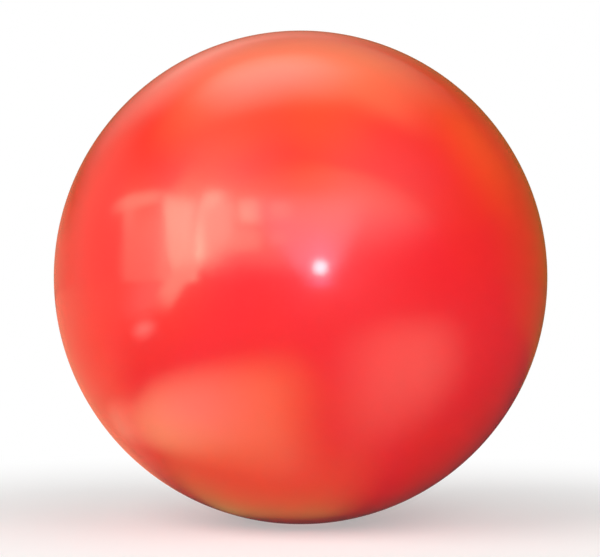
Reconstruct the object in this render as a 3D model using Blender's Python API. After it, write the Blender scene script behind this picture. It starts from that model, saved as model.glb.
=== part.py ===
"""A rhythmic gymnastics ball: a pearl rubber skin bonded over an air-tight liner, with a
self-sealing needle valve on top and the push-in stopper that closes it.

Metres, +Z up, origin at the centre of the ball, valve axis along +Z.
Every piece is turned about that axis, so each has a profile of (radius, height) points.
"""

import math

import bmesh
import bpy

MM = 0.001

# Ball
BALL_DIAMETER = 185.0 * MM
SKIN_WALL = 2.4 * MM
LINER_WALL = 0.9 * MM
LIP_ROUND = 0.5 * MM

# Clearances
BOND_GAP = 0.3 * MM
SEAT_GAP = 0.3 * MM

# Stopper, the plastic pin pushed into the needle channel
HEAD_RADIUS = 2.8 * MM
HEAD_THICKNESS = 0.8 * MM
HEAD_EDGE_ROUND = 0.2 * MM
SHANK_RADIUS = 0.9 * MM
SHANK_LENGTH = 14.0 * MM
SHANK_RIB_COUNT = 3
SHANK_RIB_HEIGHT = 0.15 * MM
SHANK_RIB_RISE = 0.3 * MM
SHANK_RIB_LENGTH = 0.9 * MM
TIP_LENGTH = 1.8 * MM
TIP_RADIUS = 0.45 * MM

# Valve core, the soft insert that the pump's needle goes through
FACE_STEP = 0.05 * MM
FLANGE_OVERHANG = 2.8 * MM
FLANGE_EDGE_ROUND = 0.3 * MM
STEM_WALL = 0.6 * MM
BARB_COUNT = 2
BARB_HEIGHT = 0.5 * MM
BARB_LAND = 0.4 * MM
BARB_LENGTH = 1.6 * MM
BULB_OVERHANG = 1.4 * MM
BULB_EDGE_ROUND = 0.5 * MM
BULB_RIM = 2.0 * MM
BULB_LENGTH = 5.5 * MM
SLIT_WIDTH = 0.4 * MM
SLIT_LENGTH = 3.0 * MM
BILL_LENGTH = 4.5 * MM
BILL_LIP_WALL = 0.9 * MM
BILL_SIDE_WALL = 1.0 * MM
NAIL_NOTCH_RADIUS = 1.5 * MM
NAIL_NOTCH_DEPTH = 0.8 * MM

# Valve boss, the patch and neck that hold the core inside the liner
PATCH_WIDTH = 10.9 * MM
PATCH_WALL = 1.6 * MM
PATCH_EDGE_WALL = 0.5 * MM
NECK_LENGTH = 13.0 * MM
NECK_WALL = 2.4 * MM
NECK_FILLET = 2.2 * MM
NECK_END_ROUND = 0.8 * MM

# Facets
BALL_SEGMENTS = 60
OUTER_RINGS_PER_HALF = 15
PATCH_RINGS = 2
INNER_RINGS = 18
BOSS_SEGMENTS = 30
CORE_SEGMENTS = 28
STOPPER_SEGMENTS = 20
ROUND_STEPS = 3
BILL_STEPS = 3
SMOOTH_ANGLE = math.radians(35.0)


def sphere_height(sphere_radius, radius):
    """Height of a sphere about the origin at a distance from the valve axis."""
    return math.sqrt(sphere_radius**2 - radius**2)


# Radii of the layers, outside first
SKIN_RADIUS = BALL_DIAMETER / 2
SKIN_INNER_RADIUS = SKIN_RADIUS - SKIN_WALL
LINER_RADIUS = SKIN_INNER_RADIUS - BOND_GAP
LINER_INNER_RADIUS = LINER_RADIUS - LINER_WALL
PATCH_SPHERE_RADIUS = LINER_INNER_RADIUS - BOND_GAP
PATCH_INNER_RADIUS = PATCH_SPHERE_RADIUS - PATCH_WALL

# Radii of the valve, from the axis out
CHANNEL_RADIUS = SHANK_RADIUS + SHANK_RIB_HEIGHT + SEAT_GAP
RECESS_RADIUS = HEAD_RADIUS + SEAT_GAP
STEM_RADIUS = RECESS_RADIUS + STEM_WALL
BORE_RADIUS = STEM_RADIUS + SEAT_GAP
FLANGE_RADIUS = STEM_RADIUS + FLANGE_OVERHANG
VALVE_HOLE_RADIUS = FLANGE_RADIUS + SEAT_GAP
NECK_RADIUS = BORE_RADIUS + BARB_HEIGHT + NECK_WALL
PATCH_RADIUS = NECK_RADIUS + NECK_FILLET + PATCH_WIDTH
PATCH_ANGLE = math.asin(PATCH_RADIUS / PATCH_SPHERE_RADIUS)

# Heights of the valve, from the top down
FACE_HEIGHT = sphere_height(SKIN_RADIUS, VALVE_HOLE_RADIUS) - FACE_STEP
HEAD_UNDERSIDE = FACE_HEIGHT - HEAD_THICKNESS
RECESS_FLOOR = HEAD_UNDERSIDE - SEAT_GAP
FLANGE_UNDERSIDE = sphere_height(LINER_RADIUS, BORE_RADIUS) + SEAT_GAP
NECK_TOP = sphere_height(PATCH_SPHERE_RADIUS, BORE_RADIUS)
SHANK_END = HEAD_UNDERSIDE - SHANK_LENGTH
CHANNEL_END = SHANK_END - SEAT_GAP
NECK_END = NECK_TOP - NECK_LENGTH
BULB_SHOULDER = NECK_END - SEAT_GAP
BULB_END = BULB_SHOULDER - BULB_LENGTH
BILL_END = BULB_END - BILL_LENGTH


def spread(start, stop, steps):
    """Evenly spaced values from start to stop, both included."""
    return [start + (stop - start) * step / steps for step in range(steps + 1)]


def arc(centre, radius, start, stop, steps):
    """Points round a (radius, height) centre, by angle from the direction of the valve axis."""
    return [
        (centre[0] + radius * math.sin(angle), centre[1] + radius * math.cos(angle))
        for angle in spread(start, stop, steps)
    ]


def meridian(radius, angles):
    """Points of a sphere about the ball's centre, by angle from the valve axis."""
    return [(radius * math.sin(angle), radius * math.cos(angle)) for angle in angles]


def patch_angles(hole_radius, sphere_radius):
    """Ring angles from the edge of a hole out to the edge of the patch."""
    hole_angle = math.asin(hole_radius / sphere_radius)
    rings = spread(0.0, PATCH_ANGLE, PATCH_RINGS)
    return [hole_angle, *[angle for angle in rings if angle > hole_angle]]


def layer(hole_radius, sphere_radius):
    """Meridian of an inner layer from its hole to the bottom of the ball.

    Past its own hole each layer has the same rings, so the gap between two layers stays even.
    """
    to_bottom = spread(PATCH_ANGLE, math.pi, INNER_RINGS)[1:]
    angles = [*patch_angles(hole_radius, sphere_radius), *to_bottom]
    return meridian(sphere_radius, angles)


def turned(name, profile, segments, ring=False):
    """A solid of revolution. A ring's profile closes on itself; any other ends on the axis."""
    mesh = bpy.data.meshes.new(name)
    shape = bmesh.new()
    points = [shape.verts.new((radius, 0.0, height)) for radius, height in profile]
    edges = [shape.edges.new(pair) for pair in zip(points, points[1:])]
    if ring:
        edges.append(shape.edges.new((points[-1], points[0])))
    bmesh.ops.spin(
        shape,
        geom=[*points, *edges],
        cent=(0, 0, 0),
        axis=(0, 0, 1),
        angle=math.tau,
        steps=segments,
        use_merge=True,
    )
    bmesh.ops.remove_doubles(shape, verts=shape.verts, dist=0.0001 * MM)
    bmesh.ops.recalc_face_normals(shape, faces=shape.faces)
    shape.to_mesh(mesh)
    shape.free()
    mesh.shade_smooth()
    mesh.set_sharp_from_angle(angle=SMOOTH_ANGLE)
    piece = bpy.data.objects.new(name, mesh)
    bpy.context.scene.collection.objects.link(piece)
    return piece


def finish(piece, colour, roughness):
    """Gives the piece a material of its own, in linear colour. Nothing on the ball is metal."""
    material = bpy.data.materials.new(piece.name)
    material.use_nodes = True
    shader = material.node_tree.nodes["Principled BSDF"]
    shader.inputs["Base Color"].default_value = (*colour, 1.0)
    shader.inputs["Roughness"].default_value = roughness
    shader.inputs["Metallic"].default_value = 0.0
    piece.data.materials.append(material)
    return piece


def cut(piece, name, primitive, place, **sizes):
    """Takes a primitive out of the piece, and keeps it as a hidden guide parented to it."""
    mesh = bpy.data.meshes.new(name)
    shape = bmesh.new()
    primitive(shape, **sizes)
    shape.to_mesh(mesh)
    shape.free()
    cutter = bpy.data.objects.new(name, mesh)
    cutter.location = place
    cutter.parent = piece
    cutter.hide_render = True
    cutter.display_type = "WIRE"
    bpy.context.scene.collection.objects.link(cutter)
    boolean = piece.modifiers.new(name, "BOOLEAN")
    boolean.operation = "DIFFERENCE"
    boolean.object = cutter
    return cutter


def make_skin():
    """The coloured cover: a hollow ball with one round hole, its lip rounded over."""
    lip_centre = (
        VALVE_HOLE_RADIUS + LIP_ROUND,
        sphere_height(SKIN_RADIUS - LIP_ROUND, VALVE_HOLE_RADIUS + LIP_ROUND),
    )
    lip_angle = math.atan2(*lip_centre)
    inner = layer(VALVE_HOLE_RADIUS, SKIN_INNER_RADIUS)
    lip = arc(lip_centre, LIP_ROUND, -math.pi / 2, lip_angle, ROUND_STEPS)
    upper = spread(lip_angle, math.pi / 2, OUTER_RINGS_PER_HALF)
    lower = spread(math.pi / 2, math.pi, OUTER_RINGS_PER_HALF)
    outer = meridian(SKIN_RADIUS, [*upper[1:], *lower[1:]])
    skin = turned("outer_skin", [*reversed(inner), *lip, *outer], BALL_SEGMENTS)
    return finish(skin, colour=(0.90, 0.012, 0.014), roughness=0.18)


def make_liner():
    """The air-tight layer, a thin hollow ball with a hole for the core's stem."""
    outer = layer(BORE_RADIUS, LINER_RADIUS)
    inner = layer(BORE_RADIUS, LINER_INNER_RADIUS)
    liner = turned("inner_liner", [*reversed(inner), *outer], BALL_SEGMENTS)
    return finish(liner, colour=(0.035, 0.035, 0.038), roughness=0.6)


def stem_barbs(clearance=0.0):
    """The stem's barbs from the top down. With a clearance, the grooves that take them."""
    root = STEM_RADIUS + clearance
    crest = root + BARB_HEIGHT
    points = []
    for middle in spread(NECK_TOP, NECK_END, BARB_COUNT + 1)[1:-1]:
        top = middle + BARB_LENGTH / 2
        points += [
            (root, top + clearance),
            (crest, top + clearance),
            (crest, top - BARB_LAND),
            (root, top - BARB_LENGTH - clearance),
        ]
    return points


def patch_underside(angle, wall):
    """The point under the patch at an angle off the axis, where its wall is this thick."""
    return meridian(PATCH_SPHERE_RADIUS - wall, [angle])[0]


def make_boss():
    """A round patch that thins towards its edge, with a neck that grips the core's stem."""
    fillet_radius = NECK_RADIUS + NECK_FILLET
    fillet_angle = math.asin(fillet_radius / PATCH_INNER_RADIUS)
    outer = meridian(PATCH_SPHERE_RADIUS, patch_angles(BORE_RADIUS, PATCH_SPHERE_RADIUS))
    underside = [
        patch_underside(PATCH_ANGLE, PATCH_EDGE_WALL),
        patch_underside((PATCH_ANGLE + fillet_angle) / 2, (PATCH_EDGE_WALL + PATCH_WALL) / 2),
        patch_underside(fillet_angle, PATCH_WALL),
    ]
    fillet_centre = (fillet_radius, underside[-1][1] - NECK_FILLET)
    fillet = arc(fillet_centre, NECK_FILLET, 0.0, -math.pi / 2, ROUND_STEPS)
    end_centre = (NECK_RADIUS - NECK_END_ROUND, NECK_END + NECK_END_ROUND)
    end = arc(end_centre, NECK_END_ROUND, math.pi / 2, math.pi, ROUND_STEPS)
    grooves = reversed(stem_barbs(SEAT_GAP))
    profile = [*outer, *underside, *fillet[1:], *end, (BORE_RADIUS, NECK_END), *grooves]
    boss = turned("valve_boss", profile, BOSS_SEGMENTS, ring=True)
    return finish(boss, colour=(0.05, 0.05, 0.055), roughness=0.55)


def flatten_bill(core, thickness, width):
    """Draws the core's inner end in along X, from round at the bulb to two flat lips."""
    for vertex in core.data.vertices:
        share = min(max((BULB_END - vertex.co.z) / BILL_LENGTH, 0.0), 1.0)
        drawn = math.sin(share * math.pi / 2)
        vertex.co.x *= 1.0 - (1.0 - thickness / width) * drawn


def make_core():
    """The soft insert: flange, recess for the stopper's head, barbed stem, bulb and slit bill."""
    flange_edge = (FLANGE_RADIUS - FLANGE_EDGE_ROUND, FACE_HEIGHT - FLANGE_EDGE_ROUND)
    bulb_radius = STEM_RADIUS + BULB_OVERHANG
    bulb_edge = (bulb_radius - BULB_EDGE_ROUND, BULB_SHOULDER - BULB_EDGE_ROUND)
    bill_width = SLIT_LENGTH + 2 * BILL_SIDE_WALL
    bill_thickness = SLIT_WIDTH + 2 * BILL_LIP_WALL
    bill = [(bill_width / 2, height) for height in spread(BULB_END, BILL_END, BILL_STEPS)]
    profile = [
        (0.0, CHANNEL_END),
        (CHANNEL_RADIUS, CHANNEL_END),
        (CHANNEL_RADIUS, RECESS_FLOOR),
        (RECESS_RADIUS, RECESS_FLOOR),
        (RECESS_RADIUS, FACE_HEIGHT),
        *arc(flange_edge, FLANGE_EDGE_ROUND, 0.0, math.pi / 2, ROUND_STEPS),
        (FLANGE_RADIUS, FLANGE_UNDERSIDE),
        (STEM_RADIUS, FLANGE_UNDERSIDE),
        *stem_barbs(),
        (STEM_RADIUS, BULB_SHOULDER),
        *arc(bulb_edge, BULB_EDGE_ROUND, 0.0, math.pi / 2, ROUND_STEPS),
        (bulb_radius, BULB_SHOULDER - BULB_RIM),
        *bill,
        (0.0, BILL_END),
    ]
    core = turned("valve_core", profile, CORE_SEGMENTS)
    flatten_bill(core, bill_thickness, bill_width)
    slit_height = 2 * (CHANNEL_END + SEAT_GAP - BILL_END)
    slit = cut(core, "slit_guide", bmesh.ops.create_cube, (0.0, 0.0, BILL_END), size=1.0)
    slit.scale = (SLIT_WIDTH, SLIT_LENGTH, slit_height)
    notch_centre = (RECESS_RADIUS, 0.0, FACE_HEIGHT - NAIL_NOTCH_DEPTH + NAIL_NOTCH_RADIUS)
    cut(
        core,
        "nail_notch_guide",
        bmesh.ops.create_uvsphere,
        notch_centre,
        u_segments=20,
        v_segments=14,
        radius=NAIL_NOTCH_RADIUS,
    )
    return finish(core, colour=(0.80, 0.76, 0.68), roughness=0.45)


def shank_ribs():
    """The stopper's ribs from the head down, below an origin at the head's underside."""
    points = []
    for middle in spread(0.0, TIP_LENGTH - SHANK_LENGTH, SHANK_RIB_COUNT + 1)[1:-1]:
        top = middle + SHANK_RIB_LENGTH / 2
        points += [
            (SHANK_RADIUS, top),
            (SHANK_RADIUS + SHANK_RIB_HEIGHT, top - SHANK_RIB_RISE),
            (SHANK_RADIUS, top - SHANK_RIB_LENGTH),
        ]
    return points


def make_stopper():
    """The pin, about an origin on the valve axis at its head's underside.

    Its crown reaches the ball's own sphere, so that nothing stands proud when the ball rolls.
    """
    crown = SKIN_RADIUS - HEAD_UNDERSIDE
    rim = sphere_height(SKIN_RADIUS, HEAD_RADIUS) - HEAD_UNDERSIDE
    head_edge = (HEAD_RADIUS - HEAD_EDGE_ROUND, rim - HEAD_EDGE_ROUND)
    profile = [
        (0.0, crown),
        *arc(head_edge, HEAD_EDGE_ROUND, 0.0, math.pi / 2, ROUND_STEPS),
        (HEAD_RADIUS, 0.0),
        (SHANK_RADIUS, 0.0),
        *shank_ribs(),
        (SHANK_RADIUS, TIP_LENGTH - SHANK_LENGTH),
        (TIP_RADIUS, -SHANK_LENGTH),
        (0.0, -SHANK_LENGTH),
    ]
    stopper = turned("stopper", profile, STOPPER_SEGMENTS)
    stopper.location = (0.0, 0.0, HEAD_UNDERSIDE)
    return finish(stopper, colour=(0.86, 0.85, 0.82), roughness=0.3)


def main():
    for leftover in list(bpy.data.objects):
        bpy.data.objects.remove(leftover)
    skin = make_skin()
    for piece in (make_liner(), make_boss(), make_core(), make_stopper()):
        piece.parent = skin


main()
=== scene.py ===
"""The looks of a rhythmic gymnastics ball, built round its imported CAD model.

Metres, +Z up, origin at the centre of the ball, valve on top. The camera looks along +Y.
The skin, the valve core and its stopper are turned again with fine profiles. The layers
inside the ball keep their CAD meshes and get materials. A light tent with soft panels
stands round the ball, and its reflections are the pale and dark bands on the rubber.
"""

import math

import bmesh
import bpy
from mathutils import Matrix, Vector

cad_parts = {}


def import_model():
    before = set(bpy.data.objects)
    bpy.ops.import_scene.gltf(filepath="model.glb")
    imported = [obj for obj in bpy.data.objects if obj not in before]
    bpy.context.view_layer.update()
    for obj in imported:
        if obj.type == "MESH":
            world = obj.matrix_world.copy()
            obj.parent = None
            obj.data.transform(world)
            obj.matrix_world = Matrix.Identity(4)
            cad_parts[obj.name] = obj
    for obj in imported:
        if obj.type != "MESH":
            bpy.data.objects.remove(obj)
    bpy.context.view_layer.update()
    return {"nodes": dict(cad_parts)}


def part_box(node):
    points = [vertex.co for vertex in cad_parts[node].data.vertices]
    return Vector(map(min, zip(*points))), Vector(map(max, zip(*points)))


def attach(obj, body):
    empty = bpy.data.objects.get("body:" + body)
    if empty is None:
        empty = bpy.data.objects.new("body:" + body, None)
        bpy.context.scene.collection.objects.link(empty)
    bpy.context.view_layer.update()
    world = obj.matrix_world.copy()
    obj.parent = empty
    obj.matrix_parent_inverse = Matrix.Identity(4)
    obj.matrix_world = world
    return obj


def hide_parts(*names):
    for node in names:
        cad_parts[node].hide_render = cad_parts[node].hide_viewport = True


MM = 0.001

# The photograph's frame, and the ball's outline in it, in pixels
PHOTO_WIDTH = 600
PHOTO_HEIGHT = 557
OUTLINE_CENTRE = (300.6, 277.4)
OUTLINE_RADIUS = 246.9
CAMERA_DISTANCE = 0.8
SENSOR_WIDTH = 36.0

# Skin
SKIN_WALL = 2.4 * MM
SKIN_HOLE_RADIUS = 6.8 * MM
LIP_ROUND = 0.5 * MM
SKIN_SEGMENTS = 192
OUTER_RINGS = 120
INNER_RINGS = 36

# Valve core, from the axis out and then from the top down
SEAT_GAP = 0.3 * MM
CHANNEL_RADIUS = 1.35 * MM
RECESS_RADIUS = 3.1 * MM
RECESS_DEPTH = 1.1 * MM
RECESS_LIP_ROUND = 0.15 * MM
STEM_RADIUS = 3.7 * MM
FLANGE_RADIUS = 6.5 * MM
FLANGE_EDGE_ROUND = 0.3 * MM
FACE_STEP = 0.05 * MM
FLANGE_UNDERSIDE = 90.011 * MM
NECK_TOP = 88.51 * MM
NECK_END = 75.51 * MM
BARB_COUNT = 2
BARB_HEIGHT = 0.5 * MM
BARB_LAND = 0.4 * MM
BARB_LENGTH = 1.6 * MM
BULB_SHOULDER = 75.21 * MM
BULB_OVERHANG = 1.4 * MM
BULB_EDGE_ROUND = 0.5 * MM
BULB_RIM = 2.0 * MM
BULB_END = 69.71 * MM
CHANNEL_END = 77.1 * MM
SLIT_WIDTH = 0.4 * MM
SLIT_LENGTH = 3.0 * MM
BILL_LENGTH = 4.5 * MM
BILL_WIDTH = 5.0 * MM
BILL_THICKNESS = 2.2 * MM
NAIL_NOTCH_RADIUS = 1.5 * MM
NAIL_NOTCH_DEPTH = 0.8 * MM
CORE_SEGMENTS = 96

# Stopper
HEAD_RADIUS = 2.8 * MM
HEAD_THICKNESS = 0.8 * MM
HEAD_EDGE_ROUND = 0.2 * MM
SHANK_RADIUS = 0.9 * MM
SHANK_LENGTH = 14.0 * MM
RIB_COUNT = 3
RIB_HEIGHT = 0.15 * MM
RIB_RISE = 0.3 * MM
RIB_LENGTH = 0.9 * MM
TIP_LENGTH = 1.8 * MM
TIP_RADIUS = 0.45 * MM
TIP_ROUND = 0.2 * MM
STOPPER_SEGMENTS = 64

# Steps of the rounded edges, and the angle from which an edge stays sharp
ROUND_STEPS = 8
HEAD_STEPS = 6
SMALL_ROUND_STEPS = 5
BILL_STEPS = 12
SMOOTH_ANGLE = math.radians(35.0)


def spread(start, stop, steps):
    """Evenly spaced values from start to stop, both included."""
    return [start + (stop - start) * step / steps for step in range(steps + 1)]


def arc(centre, radius, start, stop, steps):
    """Points round a (radius, height) centre, by angle from the direction of +Z."""
    return [
        (centre[0] + radius * math.sin(angle), centre[1] + radius * math.cos(angle))
        for angle in spread(start, stop, steps)
    ]


def turned(name, profile, segments):
    """A mesh object turned about Z from (radius, height) points."""
    mesh = bpy.data.meshes.new(name)
    shape = bmesh.new()
    points = [shape.verts.new((radius, 0.0, height)) for radius, height in profile]
    edges = [shape.edges.new(pair) for pair in zip(points, points[1:])]
    bmesh.ops.spin(
        shape,
        geom=[*points, *edges],
        cent=(0, 0, 0),
        axis=(0, 0, 1),
        angle=math.tau,
        steps=segments,
        use_merge=True,
    )
    bmesh.ops.remove_doubles(shape, verts=shape.verts, dist=0.0001 * MM)
    bmesh.ops.recalc_face_normals(shape, faces=shape.faces)
    shape.to_mesh(mesh)
    shape.free()
    mesh.shade_smooth()
    mesh.set_sharp_from_angle(angle=SMOOTH_ANGLE)
    piece = bpy.data.objects.new(name, mesh)
    bpy.context.scene.collection.objects.link(piece)
    return piece


class Tree:
    """Adds nodes to a material's or the world's node tree."""

    def __init__(self, owner):
        owner.use_nodes = True
        self.tree = owner.node_tree
        self.tree.nodes.clear()

    def add(self, kind, inputs=(), **settings):
        """A node. Each input is a number, a colour or another node's output."""
        node = self.tree.nodes.new(kind)
        for name, value in settings.items():
            setattr(node, name, value)
        for key, value in dict(inputs).items():
            if isinstance(value, bpy.types.NodeSocket):
                self.tree.links.new(value, node.inputs[key])
            else:
                node.inputs[key].default_value = value
        return node

    def math(self, operation, first, second=0.0):
        return self.add("ShaderNodeMath", {0: first, 1: second}, operation=operation).outputs[0]

    def vector(self, operation, first, second=(0, 0, 0)):
        inputs = {0: first, 1: second}
        return self.add("ShaderNodeVectorMath", inputs, operation=operation).outputs[0]

    def ramp(self, value, low, high, start=0.0, stop=1.0):
        """Value from low to high, moved smoothly to start to stop."""
        inputs = {"Value": value, "From Min": low, "From Max": high, "To Min": start, "To Max": stop}
        return self.add("ShaderNodeMapRange", inputs, interpolation_type="SMOOTHSTEP").outputs[0]

    def noise(self, place, scale, detail=2.0, distortion=0.0):
        inputs = {"Vector": place, "Scale": scale, "Detail": detail, "Distortion": distortion}
        return self.add("ShaderNodeTexNoise", inputs).outputs["Fac"]

    def blend(self, share, first, second):
        """A colour between two colours."""
        inputs = {"Factor": share, "A": first, "B": second}
        node = self.tree.nodes.new("ShaderNodeMix")
        node.data_type = "RGBA"
        for key, value in inputs.items():
            socket = next(s for s in node.inputs if s.name == key and s.enabled)
            if isinstance(value, bpy.types.NodeSocket):
                self.tree.links.new(value, socket)
            else:
                socket.default_value = value
        return next(s for s in node.outputs if s.enabled)

    def looked_at(self):
        """1 for a ray from the camera, from gloss or through clear material, and 0 for others."""
        rays = self.add("ShaderNodeLightPath").outputs
        seen = self.math("MAXIMUM", rays["Is Camera Ray"], rays["Is Glossy Ray"])
        return self.math("MAXIMUM", seen, rays["Is Transmission Ray"])

    def surface(self, shader):
        self.add("ShaderNodeOutputMaterial", {"Surface": shader.outputs[0]})


def opaque(colour):
    return (*colour, 1.0)


# The studio. The sheets that the ball mirrors are fitted to the photograph's bands, each
# with a radiance in linear colour. Where two cross, the nearer one lies in front.

TENT_RADIUS = 6.0
TENT_SEGMENTS = 48
TENT_RINGS = 24
TENT_REACH = math.radians(93.0)
TENT_FRONT = (0.14, 0.03, 0.06)
TENT_BACK = (0.26, 0.13, 0.03)
TENT_BLEND = (-0.4 * TENT_RADIUS, 0.5 * TENT_RADIUS)

FLOOR_HALF = 8.0
FLOOR_COLOUR = (0.90, 0.89, 0.88)
# The floor turns from matte to white between these distances from under the ball
FLOOR_FADE = (0.05, 0.32)
FLOOR_WHITE_AT_FOOT = 0.4
WORLD_LIGHT = 0.15

PANEL_DISTANCE = 4.0
PANE_STEP = 0.03
PANE_TINT = (1.1, 1.0, 0.69)
RIGHT_PANE_DISTANCE = 2.8
SWAY = 0.3
SLIGHT_SWAY = 0.15
# Faces of the sheets: degrees that one of a panel's spans, and counts along U and V
PANEL_FACE = 8.0
QUAD_STEPS = (8, 8)
CURVED_STEPS = (12, 12)
PATCH_STEPS = (24, 8)

LAMP_DISTANCE = 1.3
LAMP_SIZE = 1.2
LAMP_COLOUR = (1.0, 0.98, 0.95)
LAMPS = [
    # Name, azimuth, elevation, energy
    ("key", -48, 34, 13.5),
    ("fill", 46, 40, 7.8),
    ("front", 20, 18, 4.2),
]


def direction(azimuth, elevation):
    """Unit vector by degrees: azimuth 0 is towards the camera, above 0 right in the picture."""
    a, e = math.radians(azimuth), math.radians(elevation)
    return Vector((math.sin(a) * math.cos(e), -math.cos(a) * math.cos(e), math.sin(e)))


def wavy(tree, place, size, sway):
    """UV coordinates that sway to and fro, so that a sheet's edge isn't ruler straight."""
    noise = tree.add("ShaderNodeTexNoise", {"Vector": place, "Scale": 1.5 / size, "Detail": 1.0})
    stray = tree.vector("SUBTRACT", noise.outputs["Color"], (0.5, 0.5, 0.5))
    stray = tree.vector("MULTIPLY", stray, [sway * size] * 3)
    return tree.vector("ADD", place, stray)


def glow(name, radiance, half, corner, soft, sway):
    """Light from one side of a sheet, in a box about UV's origin with round, soft corners.

    Radiance is one colour, or one for the side where V is least and one for the other side.
    Corner is the corners' radius along U and V, soft the share of it that fades out, and sway
    how far the edge strays, as a share of the smaller half size.
    """
    low, high = radiance if isinstance(radiance[0], tuple) else (radiance, radiance)
    strength = max(*low, *high)
    material = bpy.data.materials.new(name)
    tree = Tree(material)
    corner = [min(round_, size) for round_, size in zip(corner, half)]
    place = wavy(tree, tree.add("ShaderNodeTexCoord").outputs["UV"], min(half), sway)
    inner = (half[0] - corner[0], half[1] - corner[1], 0.0)
    past = tree.vector("SUBTRACT", tree.vector("ABSOLUTE", place), inner)
    past = tree.vector("MAXIMUM", past, (0, 0, 0))
    past = tree.vector("MULTIPLY", past, (1 / corner[0], 1 / corner[1], 0.0))
    off = tree.add("ShaderNodeVectorMath", {0: past}, operation="LENGTH").outputs["Value"]
    front = tree.math("SUBTRACT", 1.0, tree.add("ShaderNodeNewGeometry").outputs["Backfacing"])
    share = tree.math("MULTIPLY", front, tree.ramp(off, 1.0, 1.0 - soft))
    height = tree.add("ShaderNodeSeparateXYZ", {0: place}).outputs["Y"]
    rise = tree.ramp(height, -half[1], half[1])
    colour = tree.blend(rise, *(opaque([part / strength for part in end]) for end in (low, high)))
    light = tree.add("ShaderNodeEmission", {"Color": colour, "Strength": strength})
    clear = tree.add("ShaderNodeBsdfTransparent")
    mixed = tree.add("ShaderNodeMixShader", {0: share, 1: clear.outputs[0], 2: light.outputs[0]})
    tree.surface(mixed)
    return material


def light_sheet(name, place, half, steps, material):
    """A grid of faces through place(u, v), facing the ball, with u and v kept as its UV map.

    Only gloss sees it: it is hidden from the camera and lights nothing by diffuse rays.
    """
    mesh = bpy.data.meshes.new(name)
    shape = bmesh.new()
    uv = shape.loops.layers.uv.new("UVMap")
    across = spread(-half[0], half[0], steps[0])
    up = spread(-half[1], half[1], steps[1])
    rows = [[shape.verts.new(place(u, v)) for u in across] for v in up]
    for j in range(steps[1]):
        for i in range(steps[0]):
            corners = [(i, j), (i, j + 1), (i + 1, j + 1), (i + 1, j)]
            face = shape.faces.new([rows[b][a] for a, b in corners])
            for loop, (a, b) in zip(face.loops, corners):
                loop[uv].uv = (across[a], up[b])
    shape.to_mesh(mesh)
    shape.free()
    mesh.materials.append(material)
    light = bpy.data.objects.new(name, mesh)
    bpy.context.scene.collection.objects.link(light)
    light.visible_camera = False
    light.visible_diffuse = False


def panel(name, middle, half, radiance, corner, soft=1.0, distance=PANEL_DISTANCE, sway=SWAY):
    """A curved panel round the ball. Its middle, half sizes and corner are in degrees."""
    steps = [max(2, round(2 * size / PANEL_FACE)) for size in half]
    material = glow(name, radiance, half, corner, soft, sway)

    def place(u, v):
        return direction(middle[0] + u, middle[1] + v) * distance

    light_sheet(name, place, half, steps, material)


def card(name, middle, half, radiance, corner, sway=SWAY):
    """A flat horizontal card below or above the ball, its lit side towards the ball's height.

    Only a card above the ball takes two radiances, the first for its side towards the camera.
    """
    way = 1 if middle[2] > 0 else -1
    material = glow(name, radiance, half, corner, 1.0, sway)

    def place(u, v):
        return Vector((middle[0] + u, middle[1] + way * v, middle[2]))

    light_sheet(name, place, half, (1, 1), material)


def between(corners, u, v):
    """The place at u and v, each from -1 to 1, in a quad given from its upper left corner round."""
    upper_left, upper_right, lower_right, lower_left = (Vector(corner) for corner in corners)
    upper = upper_left.lerp(upper_right, (u + 1) / 2)
    lower = lower_left.lerp(lower_right, (u + 1) / 2)
    return lower.lerp(upper, (v + 1) / 2)


def quad(name, corners, radiance, corner, distance=None):
    """A panel between four points, from the upper left one round to the lower left.

    It is flat, unless a distance curves it round the ball. Its corner radius is a share of
    its half width and half height.
    """
    material = glow(name, radiance, (1, 1), corner, 1.0, SLIGHT_SWAY)

    def place(u, v):
        point = between(corners, u, v)
        return point.normalized() * distance if distance else point

    light_sheet(name, place, (1, 1), QUAD_STEPS, material)


def curved_quad(name, corners, radiance, corner, distance):
    """A panel as quad makes it, but spread evenly over corners given in degrees."""
    material = glow(name, radiance, (1, 1), corner, 1.0, SLIGHT_SWAY)

    def place(u, v):
        return direction(*between(corners, u, v)) * distance

    light_sheet(name, place, (1, 1), CURVED_STEPS, material)


def floor_patch(name, azimuths, near, far, radiance, height, corner):
    """A patch of light over the floor round the ball's foot, between two azimuths; a dim one is
    painted shade.

    Near and far hold its distances at the first and the last azimuth. Its corner radius is
    a share of its half width and half depth.
    """
    half = ((azimuths[1] - azimuths[0]) / 2, 1.0)
    middle = azimuths[0] + half[0]
    material = glow(name, radiance, half, (corner[0] * half[0], corner[1]), 1.0, SLIGHT_SWAY)

    def place(u, v):
        round_share = (u / half[0] + 1) / 2
        inner = near[0] + (near[1] - near[0]) * round_share
        outer = far[0] + (far[1] - far[0]) * round_share
        point = direction(middle + u, 0.0) * inner * (outer / inner) ** ((v + 1) / 2)
        return Vector((point[0], point[1], height))

    light_sheet(name, place, half, PATCH_STEPS, material)


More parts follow.
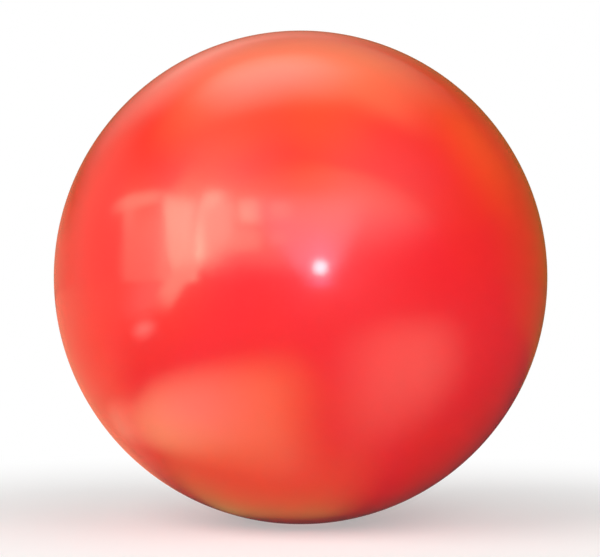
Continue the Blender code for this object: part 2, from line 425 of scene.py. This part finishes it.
def make_window():
    """Strip lights side by side, like the panes of a window left of the camera."""
    glow_colours = ((1.4, 1.2, 1.0), (1.4, 1.00, 0.35))
    panel("window_glow", (-34, 24), (42, 26), glow_colours, corner=(14, 16), distance=4.4)
    panel("left_back", (-110, 8), (40, 34), (0.70, 0.36, 0.22), corner=(30, 18), distance=4.6)
    panes = [
        # Name, corners by azimuth and elevation in degrees, brightness, softness
        ("left_low", [(-96, 29), (-58, 34), (-60, -21), (-90, -19)], 1.2, 0.7),
        ("left_pane", [(-91, 13), (-60, 26), (-51, -16), (-84, -10)], 2.45, 0.6),
        ("frame_left", [(-103, 27), (-89, 30), (-73, 5), (-85, 4)], 1.6, 0.8),
        ("frame_top", [(-110, 20), (-66, 35), (-61, 27), (-104, 15)], 2.1, 0.8),
        ("pane_3", [(-62, 37), (-31, 39.5), (-24, 12), (-44, -5)], 2.95, 0.7),
        ("pane_1", [(-78, 32), (-53, 35), (-41, -17), (-56, -5)], 3.75, 0.40),
        ("pane_2", [(-53.5, 37.5), (-39.5, 38.5), (-34.5, 13), (-49, -4)], 8.0, 0.6),
        ("pane_4", [(-35, 35.5), (-17, 36), (-15, 20.5), (-31, 20.5)], 3.9, 0.7),
        ("pane_4_low", [(-37, 22), (-14, 23), (-13, 10), (-36, 8)], 2.3, 0.7),
    ]
    for i, (name, corners, bright, soft) in enumerate(panes):
        points = [direction(*corner) * (PANEL_DISTANCE - PANE_STEP * i) for corner in corners]
        quad(name, points, tuple(bright * part for part in PANE_TINT), (soft, soft))
    right_panes = [
        # Name, corners in degrees, radiance
        ("pane_5", [(-17, 35), (-2, 35), (-2, 24), (-17, 24)], (2.5, 2.45, 2.0)),
        ("pane_5_low", [(-16, 21), (-3, 21), (-3, 13), (-16, 13)], (2.3, 2.1, 1.9)),
    ]
    for name, corners, radiance in right_panes:
        curved_quad(name, corners, radiance, (0.7, 0.7), RIGHT_PANE_DISTANCE)


def make_low_lights(ground):
    """Lit patches of the floor, with a dim one at the foot as painted shade, which the ball's lower
    half mirrors, and the window's tail.
    """
    patches = [
        # Name, azimuths, near and far distances at each, radiance, mm above the floor, corner
        ("rim_floor", (-185, -62), (0.04, 0.04), (8.0, 4.0), (0.95, 0.31, 0.18), 2.0, (0.5, 0.45)),
        ("window_floor", (-86, -50), (0.30, 0.30), (4.0, 4.0), (1.0, 0.90, 0.70), 3.0, (0.9, 0.5)),
        ("right_floor", (92, 192), (0.3, 0.3), (8.0, 8.0), (0.26, 0.12, 0.04), 2.5, (0.5, 0.4)),
        ("left_floor", (-140, -60), (0.24, 0.24), (8.0, 8.0), (0.72, 0.38, 0.22), 2.5, (0.5, 0.7)),
        ("sill_spot", (-76, -58), (0.23, 0.23), (0.38, 0.38), (2.1, 2.0, 1.7), 3.5, (1.0, 1.0)),
        # Painted shade: this dim patch at the ball's foot stands in for the ball's own shadow on the
        # floor, as the lower rim mirrors it.
        ("painted_foot_shade", (-100, 50), (0.022, 0.022), (0.095, 0.095), (0.38, 0.33, 0.12), 2.5, (0.6, 0.6)),
        ("left_end", (-120, -56), (0.10, 0.06), (0.155, 0.135), (1.1, 0.66, 0.40), 3.0, (0.8, 0.8)),
        ("left_patch", (-87, 14), (0.070, 0.042), (0.129, 0.247), (1.1, 1.34, 0.52), 3.5, (0.6, 0.80)),
        ("left_pink", (-86, -2), (0.070, 0.060), (0.150, 0.21), (1.5, 1.80, 1.15), 4.0, (1.0, 1.0)),
        ("right_patch", (2, 79), (0.040, 0.095), (0.30, 0.60), (1.1, 0.83, 0.60), 3.0, (0.9, 0.9)),
        ("flash_floor", (0, 17), (1.0, 1.0), (8.0, 8.0), (1.6, 1.3, 2.6), 3.0, (1.0, 0.5)),
    ]
    for name, azimuths, near, far, radiance, height, corner in patches:
        floor_patch(name, azimuths, near, far, radiance, ground + height * MM, corner)
    tail = [
        (-0.253, -0.228, 0.043),
        (-0.185, -0.29, 0.053),
        (-0.269, -0.185, -0.096),
        (-0.297, -0.156, -0.038),
    ]
    quad("tail", tail, (2.9, 2.6, 1.8), (0.7, 0.7))


def make_lights(ground):
    """All that the ball mirrors: haze, flash, ceiling, sides, a dim sheet of painted floor shade,
    window and lit floor.
    """
    haze_colours = ((1.3, 1.2, 1.15), (1.0, 0.80, 0.02))
    haze = [direction(*corner) for corner in [(-48, 53), (20, 51), (84, 12), (-16, -5)]]
    quad("haze", haze, haze_colours, (0.8, 0.8), distance=4.3)
    flash = (18.5, 17.4, 19.3)
    panel("flash", (8.6, 4.3), (4.5, 4.5), flash, (4.5, 4.5), soft=0.7, distance=2.9, sway=0.0)
    glow_colours = ((2.0, 1.9, 3.4), (2.1, 2.0, 2.0))
    panel("flash_glow", (8.6, 11), (9, 17), glow_colours, (9, 13), distance=2.95, sway=0.0)
    halo_colours = ((1.8, 1.65, 2.3), (2.0, 1.85, 1.6))
    halo = [(-42, 41), (47, 41), (13, -6), (3, -6)]
    curved_quad("flash_halo", halo, halo_colours, (0.6, 0.6), distance=3.0)
    ceiling_colours = ((0.75, 1.3, 0.50), (0.3, 0.34, 0.22))
    card("overhead", (0.04, 1.02, 1.5), (1.54, 1.35), ceiling_colours, (1.2, 0.5))
    card("overhead_core", (-0.22, 0.36, 1.45), (0.84, 0.66), (2.2, 2.1, 1.45), (0.75, 0.6))
    card("overhead_left", (-0.7, 2.0, 1.4), (0.65, 1.1), (0.9, 0.70, 0.52), (0.65, 1.1))
    card("overhead_glow", (-0.45, -0.2, 1.55), (1.7, 1.40), (0.8, 0.64, 0.12), (1.2, 1.0))
    panel("right_orange", (118, 34), (34, 24), (0.8, 0.35, 0.03), (34, 24), distance=4.7)
    rim_colours = ((0.5, 0.12, 0.08), (1.0, 0.95, 0.68))
    panel("left_rim", (-160, 32), (42, 28), rim_colours, (32, 20), distance=4.8)
    panel("left_side", (-150, -2), (30, 14), (0.75, 0.26, 0.15), (20, 10), distance=4.5)
    # Painted shade: a dim sheet over the whole floor, seen only in gloss, stands in for the unlit and
    # shaded floor round the ball where no lit patch lies.
    painted_floor_shade_half = (FLOOR_HALF, FLOOR_HALF)
    card("painted_floor_shade", (0, 0, ground + 1 * MM), painted_floor_shade_half, (0.15, 0.05, 0.05), (0.1, 0.1), sway=0.0)
    make_window()
    make_low_lights(ground)


def soft_lamp(name, azimuth, elevation, energy):
    """A large round lamp near the ball. It shapes the ball but isn't mirrored in it."""
    data = bpy.data.lights.new(name, "AREA")
    data.shape = "DISK"
    data.size = LAMP_SIZE
    data.energy = energy
    data.color = LAMP_COLOUR
    lamp = bpy.data.objects.new(name, data)
    bpy.context.scene.collection.objects.link(lamp)
    lamp.location = direction(azimuth, elevation) * LAMP_DISTANCE
    lamp.rotation_euler = (-lamp.location).to_track_quat("-Z", "Y").to_euler()
    lamp.visible_glossy = False
    lamp.visible_camera = False


def make_tent():
    """A dim dome round the studio. The camera looks through it at the white world."""
    dome = arc((0, 0), TENT_RADIUS, 0.0, TENT_REACH, TENT_RINGS)
    tent = turned("tent", dome, TENT_SEGMENTS)
    material = bpy.data.materials.new("tent")
    tree = Tree(material)
    place = tree.add("ShaderNodeTexCoord").outputs["Object"]
    depth = tree.add("ShaderNodeSeparateXYZ", {"Vector": place}).outputs["Y"]
    share = tree.ramp(depth, *TENT_BLEND)
    colour = tree.blend(share, opaque(TENT_FRONT), opaque(TENT_BACK))
    tree.surface(tree.add("ShaderNodeEmission", {"Color": colour, "Strength": 1.0}))
    tent.data.materials.append(material)
    tent.visible_camera = False
    tent.visible_diffuse = False


def make_floor(ground):
    """A plain pale floor, which fades into the white backdrop away from the ball."""
    mesh = bpy.data.meshes.new("floor")
    shape = bmesh.new()
    bmesh.ops.create_grid(shape, x_segments=8, y_segments=8, size=FLOOR_HALF)
    shape.to_mesh(mesh)
    shape.free()
    floor = bpy.data.objects.new("floor", mesh)
    floor.location.z = ground
    bpy.context.scene.collection.objects.link(floor)
    material = bpy.data.materials.new("floor")
    tree = Tree(material)
    place = tree.add("ShaderNodeTexCoord").outputs["Object"]
    away = tree.add("ShaderNodeVectorMath", {0: place}, operation="LENGTH").outputs["Value"]
    fade = tree.ramp(away, *FLOOR_FADE, FLOOR_WHITE_AT_FOOT, 1.0)
    share = tree.math("MULTIPLY", tree.looked_at(), fade)
    matte = tree.add("ShaderNodeBsdfDiffuse", {"Color": opaque(FLOOR_COLOUR)})
    white = tree.add("ShaderNodeEmission", {"Strength": 1.0})
    mixed = tree.add("ShaderNodeMixShader", {0: share, 1: matte.outputs[0], 2: white.outputs[0]})
    tree.surface(mixed)
    floor.data.materials.append(material)


def make_world():
    """White where the camera, gloss or clear material sees it, and dim as a light."""
    world = bpy.data.worlds.new("world")
    bpy.context.scene.world = world
    tree = Tree(world)
    strength = tree.ramp(tree.looked_at(), 0.0, 1.0, WORLD_LIGHT, 1.0)
    light = tree.add("ShaderNodeBackground", {"Color": (1, 1, 1, 1), "Strength": strength})
    tree.add("ShaderNodeOutputWorld", {"Surface": light.outputs[0]})


def make_camera(ball_radius):
    """The photograph's view: the ball's outline at its measured place and radius."""
    focal_pixels = OUTLINE_RADIUS / math.tan(math.asin(ball_radius / CAMERA_DISTANCE))
    data = bpy.data.cameras.new("camera")
    data.sensor_width = SENSOR_WIDTH
    data.lens = focal_pixels / PHOTO_WIDTH * SENSOR_WIDTH
    data.shift_x = (PHOTO_WIDTH / 2 - OUTLINE_CENTRE[0]) / PHOTO_WIDTH
    data.shift_y = (OUTLINE_CENTRE[1] - PHOTO_HEIGHT / 2) / PHOTO_WIDTH
    camera = bpy.data.objects.new("camera", data)
    camera.location = (0.0, -CAMERA_DISTANCE, 0.0)
    camera.rotation_euler = (math.pi / 2, 0.0, 0.0)
    bpy.context.scene.collection.objects.link(camera)
    bpy.context.scene.camera = camera


# Materials. Noise scales are per metre.

PINK_RED = (0.90, 0.008, 0.017)
ORANGE_RED = (0.90, 0.016, 0.011)
SKIN_ROUGHNESS = 0.28
ROUGHER_SWELL = 0.08
COAT_ROUGHNESS = 0.11
COAT_IOR = 1.6
SWELL_DEPTH = 0.25 * MM
GRAIN_DEPTH = 0.002 * MM
RUBBER_IOR = 1.5


def pearl_rubber():
    """Glossy pearl rubber that drifts a little between a pinkish and an orange red.

    A slow swell bends its reflections, and the roughness follows it.
    """
    material = bpy.data.materials.new("pearl_rubber")
    tree = Tree(material)
    place = tree.add("ShaderNodeTexCoord").outputs["Object"]
    drift = tree.noise(place, 16.0, 2.0, 0.5)
    colour = tree.blend(tree.ramp(drift, 0.35, 0.7), opaque(PINK_RED), opaque(ORANGE_RED))
    swell = tree.noise(place, 22.0, 1.0, 0.3)
    grain = tree.noise(place, 700.0, 2.0)
    bump = tree.add("ShaderNodeBump", {"Height": swell, "Strength": 1.0, "Distance": SWELL_DEPTH})
    fine = tree.add(
        "ShaderNodeBump",
        {"Height": grain, "Strength": 1.0, "Distance": GRAIN_DEPTH, "Normal": bump.outputs[0]},
    )
    rougher = tree.math("MULTIPLY", swell, ROUGHER_SWELL)
    shader = tree.add(
        "ShaderNodeBsdfPrincipled",
        {
            "Base Color": colour,
            "Roughness": tree.math("ADD", SKIN_ROUGHNESS, rougher),
            "IOR": RUBBER_IOR,
            "Coat Weight": 1.0,
            "Coat Roughness": COAT_ROUGHNESS,
            "Coat IOR": COAT_IOR,
            "Normal": fine.outputs[0],
        },
    )
    tree.surface(shader)
    return material


def moulded(name, pale, deep, patch, grain, height, roughness):
    """A material that drifts between two tones, with a fine bump.

    Patch and grain are noise scales, height is the bump's depth, and roughness a pair.
    """
    material = bpy.data.materials.new(name)
    tree = Tree(material)
    place = tree.add("ShaderNodeTexCoord").outputs["Object"]
    drift = tree.noise(place, patch, 4.0, 0.4)
    fine = tree.noise(place, grain, 4.0)
    colour = tree.blend(tree.ramp(drift, 0.35, 0.7), opaque(deep), opaque(pale))
    bump = tree.add("ShaderNodeBump", {"Height": fine, "Strength": 1.0, "Distance": height})
    inputs = {
        "Base Color": colour,
        "Roughness": tree.ramp(drift, 0.3, 0.7, *roughness),
        "IOR": RUBBER_IOR,
        "Normal": bump.outputs[0],
    }
    tree.surface(tree.add("ShaderNodeBsdfPrincipled", inputs))
    return material


def valve_rubber():
    """Soft cream rubber of the valve core, a little darker in wide patches."""
    pale, deep = (0.80, 0.76, 0.68), (0.70, 0.64, 0.54)
    return moulded("valve_rubber", pale, deep, 260.0, 2600.0, 0.008 * MM, (0.38, 0.52))


def moulded_plastic():
    """Hard white plastic of the stopper, with a faint moulded grain."""
    pale, deep = (0.86, 0.85, 0.82), (0.80, 0.79, 0.75)
    return moulded("stopper_plastic", pale, deep, 320.0, 3200.0, 0.003 * MM, (0.22, 0.34))


def liner_rubber():
    """Black butyl rubber under a thin, uneven dusting of talc."""
    pale, deep = (0.085, 0.083, 0.080), (0.030, 0.030, 0.033)
    return moulded("liner_rubber", pale, deep, 60.0, 1400.0, 0.02 * MM, (0.55, 0.8))


def boss_rubber():
    """Black moulded rubber of the patch and neck."""
    pale, deep = (0.062, 0.061, 0.064), (0.040, 0.040, 0.044)
    return moulded("boss_rubber", pale, deep, 120.0, 1800.0, 0.015 * MM, (0.48, 0.62))


def paint(piece, material):
    piece.data.materials.clear()
    piece.data.materials.append(material)


# Pieces


def make_skin(radius):
    """The coloured cover: a hollow ball with one round hole, its lip rounded over."""
    inner_radius = radius - SKIN_WALL
    centre_radius = SKIN_HOLE_RADIUS + LIP_ROUND
    centre = (centre_radius, math.sqrt((radius - LIP_ROUND) ** 2 - centre_radius**2))
    lip_angle = math.atan2(*centre)
    hole_angle = math.asin(SKIN_HOLE_RADIUS / inner_radius)
    inner = arc((0, 0), inner_radius, math.pi, hole_angle, INNER_RINGS)
    lip = arc(centre, LIP_ROUND, -math.pi / 2, lip_angle, ROUND_STEPS)
    outer = arc((0, 0), radius, lip_angle, math.pi, OUTER_RINGS)
    skin = turned("skin", [*inner, *lip, *outer[1:]], SKIN_SEGMENTS)
    paint(skin, pearl_rubber())
    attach(skin, "ball")
    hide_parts("outer_skin")


def flatten_bill(core):
    """Draws the core's inner end in along X, from round at the bulb to two flat lips."""
    for vertex in core.data.vertices:
        share = min(max((BULB_END - vertex.co.z) / BILL_LENGTH, 0.0), 1.0)
        drawn = math.sin(share * math.pi / 2)
        vertex.co.x *= 1.0 - (1.0 - BILL_THICKNESS / BILL_WIDTH) * drawn


def cut(piece, primitive, place, scale=(1, 1, 1), **sizes):
    """Takes a primitive out of the piece, for good."""
    mesh = bpy.data.meshes.new("cutter")
    shape = bmesh.new()
    primitive(shape, **sizes)
    shape.to_mesh(mesh)
    shape.free()
    cutter = bpy.data.objects.new("cutter", mesh)
    cutter.location = place
    cutter.scale = scale
    bpy.context.scene.collection.objects.link(cutter)
    boolean = piece.modifiers.new("cut", "BOOLEAN")
    boolean.operation = "DIFFERENCE"
    boolean.object = cutter
    view = bpy.context.evaluated_depsgraph_get()
    result = bpy.data.meshes.new_from_object(piece.evaluated_get(view))
    piece.modifiers.clear()
    piece.data = result
    bpy.data.objects.remove(cutter)


def stem_barbs():
    """The stem's barbs from the top down, their upper edges a little eased."""
    points = []
    crest = STEM_RADIUS + BARB_HEIGHT
    ease = BARB_LAND / 4
    for middle in spread(NECK_TOP, NECK_END, BARB_COUNT + 1)[1:-1]:
        top = middle + BARB_LENGTH / 2
        points += [
            (STEM_RADIUS, top),
            (crest - ease, top),
            (crest, top - ease),
            (crest, top - BARB_LAND),
            (STEM_RADIUS, top - BARB_LENGTH),
        ]
    return points


def make_core(ball_radius):
    """The soft insert: flange, recess for the stopper's head, barbed stem, bulb and slit bill.

    Gives back the height of the underside of the stopper's head, which sits in the recess.
    """
    face = math.sqrt(ball_radius**2 - SKIN_HOLE_RADIUS**2) - FACE_STEP
    recess_lip = (RECESS_RADIUS + RECESS_LIP_ROUND, face - RECESS_LIP_ROUND)
    flange_edge = (FLANGE_RADIUS - FLANGE_EDGE_ROUND, face - FLANGE_EDGE_ROUND)
    bulb_radius = STEM_RADIUS + BULB_OVERHANG
    bulb_edge = (bulb_radius - BULB_EDGE_ROUND, BULB_SHOULDER - BULB_EDGE_ROUND)
    bill_end = BULB_END - BILL_LENGTH
    profile = [
        (0.0, CHANNEL_END),
        (CHANNEL_RADIUS, CHANNEL_END),
        (CHANNEL_RADIUS, face - RECESS_DEPTH),
        (RECESS_RADIUS, face - RECESS_DEPTH),
        *arc(recess_lip, RECESS_LIP_ROUND, -math.pi / 2, 0.0, SMALL_ROUND_STEPS),
        *arc(flange_edge, FLANGE_EDGE_ROUND, 0.0, math.pi / 2, ROUND_STEPS),
        (FLANGE_RADIUS, FLANGE_UNDERSIDE),
        (STEM_RADIUS, FLANGE_UNDERSIDE),
        *stem_barbs(),
        (STEM_RADIUS, BULB_SHOULDER),
        *arc(bulb_edge, BULB_EDGE_ROUND, 0.0, math.pi / 2, ROUND_STEPS),
        (bulb_radius, BULB_SHOULDER - BULB_RIM),
        *[(BILL_WIDTH / 2, height) for height in spread(BULB_END, bill_end, BILL_STEPS)],
        (0.0, bill_end),
    ]
    core = turned("core", profile, CORE_SEGMENTS)
    flatten_bill(core)
    slit_height = 2 * (CHANNEL_END + SEAT_GAP - bill_end)
    slit = (SLIT_WIDTH, SLIT_LENGTH, slit_height)
    cut(core, bmesh.ops.create_cube, (0.0, 0.0, bill_end), slit, size=1.0)
    notch = (RECESS_RADIUS, 0.0, face - NAIL_NOTCH_DEPTH + NAIL_NOTCH_RADIUS)
    sphere = {"u_segments": 48, "v_segments": 32, "radius": NAIL_NOTCH_RADIUS}
    cut(core, bmesh.ops.create_uvsphere, notch, **sphere)
    core.data.shade_smooth()
    core.data.set_sharp_from_angle(angle=SMOOTH_ANGLE)
    paint(core, valve_rubber())
    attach(core, "ball")
    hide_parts("valve_core")
    return face - HEAD_THICKNESS


def shank_ribs():
    """The stopper's ribs from the head down, each a low hump with a longer slope below."""
    points = []
    crest = SHANK_RADIUS + RIB_HEIGHT
    for middle in spread(0.0, TIP_LENGTH - SHANK_LENGTH, RIB_COUNT + 1)[1:-1]:
        top = middle + RIB_LENGTH / 2
        points += [
            (SHANK_RADIUS, top),
            (crest - RIB_HEIGHT / 3, top - RIB_RISE * 0.6),
            (crest, top - RIB_RISE),
            (crest - RIB_HEIGHT / 4, top - RIB_RISE * 1.4),
            (SHANK_RADIUS, top - RIB_LENGTH),
        ]
    return points


def make_stopper(ball_radius, underside):
    """The pin. Its crown lies on the ball's own sphere, and its head's edge is rounded over."""
    rim = math.sqrt(ball_radius**2 - HEAD_RADIUS**2) - underside
    head_edge = (HEAD_RADIUS - HEAD_EDGE_ROUND, rim - HEAD_EDGE_ROUND)
    edge_angle = math.asin(head_edge[0] / ball_radius)
    crown = arc((0, -underside), ball_radius, 0.0, edge_angle, HEAD_STEPS)
    tip_centre = (TIP_RADIUS - TIP_ROUND, TIP_ROUND - SHANK_LENGTH)
    profile = [
        *crown[:-1],
        *arc(head_edge, HEAD_EDGE_ROUND, 0.0, math.pi / 2, HEAD_STEPS),
        (HEAD_RADIUS, 0.0),
        (SHANK_RADIUS, 0.0),
        *shank_ribs(),
        (SHANK_RADIUS, TIP_LENGTH - SHANK_LENGTH),
        *arc(tip_centre, TIP_ROUND, math.pi / 2, math.pi, SMALL_ROUND_STEPS),
        (0.0, -SHANK_LENGTH),
    ]
    stopper = turned("pin", profile, STOPPER_SEGMENTS)
    stopper.location = (0.0, 0.0, underside)
    paint(stopper, moulded_plastic())
    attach(stopper, "plug")
    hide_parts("stopper")


def main():
    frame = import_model()
    lowest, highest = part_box("outer_skin")
    radius = highest.x
    make_camera(radius)
    make_world()
    make_floor(lowest.z)
    make_tent()
    make_lights(lowest.z)
    for lamp in LAMPS:
        soft_lamp(*lamp)
    make_skin(radius)
    underside = make_core(radius)
    make_stopper(radius, underside)
    paint(frame["nodes"]["inner_liner"], liner_rubber())
    paint(frame["nodes"]["valve_boss"], boss_rubber())
    bpy.context.scene.view_settings.view_transform = "Standard"


main()
